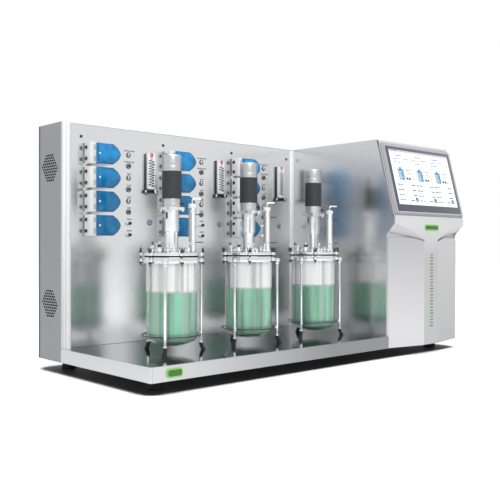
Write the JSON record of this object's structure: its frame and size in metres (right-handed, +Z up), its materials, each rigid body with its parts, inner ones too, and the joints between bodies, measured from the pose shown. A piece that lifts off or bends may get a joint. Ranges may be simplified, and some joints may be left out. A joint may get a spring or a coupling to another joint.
{
  "type": "bench bioreactor with three stirred glass vessels",
  "caption": "Bench bioreactor: stirred glass vessels on a mirror tray, a back panel with peristaltic pumps and flow meters, and an operator console with a tilted touch screen.",
  "frame": {"origin": "centre of the bounding box, on the surface that the feet stand on", "axes": "+X to the right of someone who faces the front, -Y towards that person, +Z up"},
  "size_m": [1.565, 0.705, 0.836],
  "materials": {
    "tray_steel": "near-mirror stainless sheet",
    "panel_steel": "fine-polished stainless sheet with blurred reflections",
    "grey_paint": "satin grey powder coat",
    "white_paint": "satin off-white powder coat",
    "frame_aluminium": "fine-blasted anodised",
    "screen_glass": "glossy front with a lit picture",
    "black_rubber": "matt",
    "blue_plastic": "clear blue cover on an ivory block",
    "white_plastic": "moulded",
    "meter_acrylic": "polished block with a black body",
    "black_plastic": "knurled",
    "vessel_steel": "electropolished stainless",
    "clear_glass": "clear borosilicate",
    "green_medium": "clear green liquid",
    "black_motor": "black ribbed body with bare metal ends"
  },
  "bodies": {
    "stand": {"base_tray": "tray_steel", "base_pan": "tray_steel", "rear_cabinet": "grey_paint", "rear_cover": "grey_paint", "instrument_panel": "panel_steel", "side_cabinet": "white_paint", "mirror_wall": "panel_steel", "console_column": "white_paint", "console_fascia": "white_paint", "screen_frame": "frame_aluminium", "touch_screen": "screen_glass", "foot_front_left": "black_rubber", "foot_front_right": "black_rubber", "foot_rear_left": "black_rubber", "foot_rear_right": "black_rubber", "pump_bank_1": "blue_plastic", "flow_meter_1": "meter_acrylic", "vessel_stand_1": "vessel_steel", "vessel_glass_1": "clear_glass", "culture_medium_1": "green_medium", "head_plate_1": "vessel_steel", "bell_housing_1": "vessel_steel", "stirrer_motor_1": "black_motor", "condenser_1": "vessel_steel", "pump_bank_2": "blue_plastic", "flow_meter_2": "meter_acrylic", "vessel_stand_2": "vessel_steel", "vessel_glass_2": "clear_glass", "culture_medium_2": "green_medium", "head_plate_2": "vessel_steel", "bell_housing_2": "vessel_steel", "stirrer_motor_2": "black_motor", "condenser_2": "vessel_steel", "pump_bank_3": "blue_plastic", "flow_meter_3": "meter_acrylic", "vessel_stand_3": "vessel_steel", "vessel_glass_3": "clear_glass", "culture_medium_3": "green_medium", "head_plate_3": "vessel_steel", "bell_housing_3": "vessel_steel", "stirrer_motor_3": "black_motor", "condenser_3": "vessel_steel"},
    "pump_rotor_1_1": {"pump_rotor_1_1": "white_plastic"},
    "pump_rotor_1_2": {"pump_rotor_1_2": "white_plastic"},
    "pump_rotor_1_3": {"pump_rotor_1_3": "white_plastic"},
    "pump_rotor_1_4": {"pump_rotor_1_4": "white_plastic"},
    "valve_knob_1": {"valve_knob_1": "black_plastic"},
    "agitator_1": {"agitator_1": "vessel_steel"},
    "pump_rotor_2_1": {"pump_rotor_2_1": "white_plastic"},
    "pump_rotor_2_2": {"pump_rotor_2_2": "white_plastic"},
    "pump_rotor_2_3": {"pump_rotor_2_3": "white_plastic"},
    "pump_rotor_2_4": {"pump_rotor_2_4": "white_plastic"},
    "valve_knob_2": {"valve_knob_2": "black_plastic"},
    "agitator_2": {"agitator_2": "vessel_steel"},
    "pump_rotor_3_1": {"pump_rotor_3_1": "white_plastic"},
    "pump_rotor_3_2": {"pump_rotor_3_2": "white_plastic"},
    "pump_rotor_3_3": {"pump_rotor_3_3": "white_plastic"},
    "pump_rotor_3_4": {"pump_rotor_3_4": "white_plastic"},
    "valve_knob_3": {"valve_knob_3": "black_plastic"},
    "agitator_3": {"agitator_3": "vessel_steel"}
  },
  "joints": [
    {"name": "pump_rotor_1_1_spin", "type": "hinge", "parent": "stand", "child": "pump_rotor_1_1", "pos_m": [-0.6145, 0.19617, 0.7375], "axis": [0, 1, 0], "continuous": true},
    {"name": "pump_rotor_1_2_spin", "type": "hinge", "parent": "stand", "child": "pump_rotor_1_2", "pos_m": [-0.6145, 0.19617, 0.6562], "axis": [0, 1, 0], "continuous": true},
    {"name": "pump_rotor_1_3_spin", "type": "hinge", "parent": "stand", "child": "pump_rotor_1_3", "pos_m": [-0.6145, 0.19617, 0.5749], "axis": [0, 1, 0], "continuous": true},
    {"name": "pump_rotor_1_4_spin", "type": "hinge", "parent": "stand", "child": "pump_rotor_1_4", "pos_m": [-0.6145, 0.19617, 0.4936], "axis": [0, 1, 0], "continuous": true},
    {"name": "valve_knob_1_turn", "type": "hinge", "parent": "stand", "child": "valve_knob_1", "pos_m": [-0.4245, 0.17217, 0.6195], "axis": [0, -1, 0], "range_deg": [0, 1080]},
    {"name": "agitator_1_spin", "type": "hinge", "parent": "stand", "child": "agitator_1", "pos_m": [-0.5425, -0.09253, 0.0823], "axis": [0, 0, 1], "continuous": true},
    {"name": "pump_rotor_2_1_spin", "type": "hinge", "parent": "stand", "child": "pump_rotor_2_1", "pos_m": [-0.2835, 0.19617, 0.7375], "axis": [0, 1, 0], "continuous": true},
    {"name": "pump_rotor_2_2_spin", "type": "hinge", "parent": "stand", "child": "pump_rotor_2_2", "pos_m": [-0.2835, 0.19617, 0.6562], "axis": [0, 1, 0], "continuous": true},
    {"name": "pump_rotor_2_3_spin", "type": "hinge", "parent": "stand", "child": "pump_rotor_2_3", "pos_m": [-0.2835, 0.19617, 0.5749], "axis": [0, 1, 0], "continuous": true},
    {"name": "pump_rotor_2_4_spin", "type": "hinge", "parent": "stand", "child": "pump_rotor_2_4", "pos_m": [-0.2835, 0.19617, 0.4936], "axis": [0, 1, 0], "continuous": true},
    {"name": "valve_knob_2_turn", "type": "hinge", "parent": "stand", "child": "valve_knob_2", "pos_m": [-0.0935, 0.17217, 0.6195], "axis": [0, -1, 0], "range_deg": [0, 1080]},
    {"name": "agitator_2_spin", "type": "hinge", "parent": "stand", "child": "agitator_2", "pos_m": [-0.2045, -0.09253, 0.0823], "axis": [0, 0, 1], "continuous": true},
    {"name": "pump_rotor_3_1_spin", "type": "hinge", "parent": "stand", "child": "pump_rotor_3_1", "pos_m": [0.0475, 0.19617, 0.7375], "axis": [0, 1, 0], "continuous": true},
    {"name": "pump_rotor_3_2_spin", "type": "hinge", "parent": "stand", "child": "pump_rotor_3_2", "pos_m": [0.0475, 0.19617, 0.6562], "axis": [0, 1, 0], "continuous": true},
    {"name": "pump_rotor_3_3_spin", "type": "hinge", "parent": "stand", "child": "pump_rotor_3_3", "pos_m": [0.0475, 0.19617, 0.5749], "axis": [0, 1, 0], "continuous": true},
    {"name": "pump_rotor_3_4_spin", "type": "hinge", "parent": "stand", "child": "pump_rotor_3_4", "pos_m": [0.0475, 0.19617, 0.4936], "axis": [0, 1, 0], "continuous": true},
    {"name": "valve_knob_3_turn", "type": "hinge", "parent": "stand", "child": "valve_knob_3", "pos_m": [0.2375, 0.17217, 0.6195], "axis": [0, -1, 0], "range_deg": [0, 1080]},
    {"name": "agitator_3_spin", "type": "hinge", "parent": "stand", "child": "agitator_3", "pos_m": [0.1335, -0.09253, 0.0823], "axis": [0, 0, 1], "continuous": true}
  ]
}
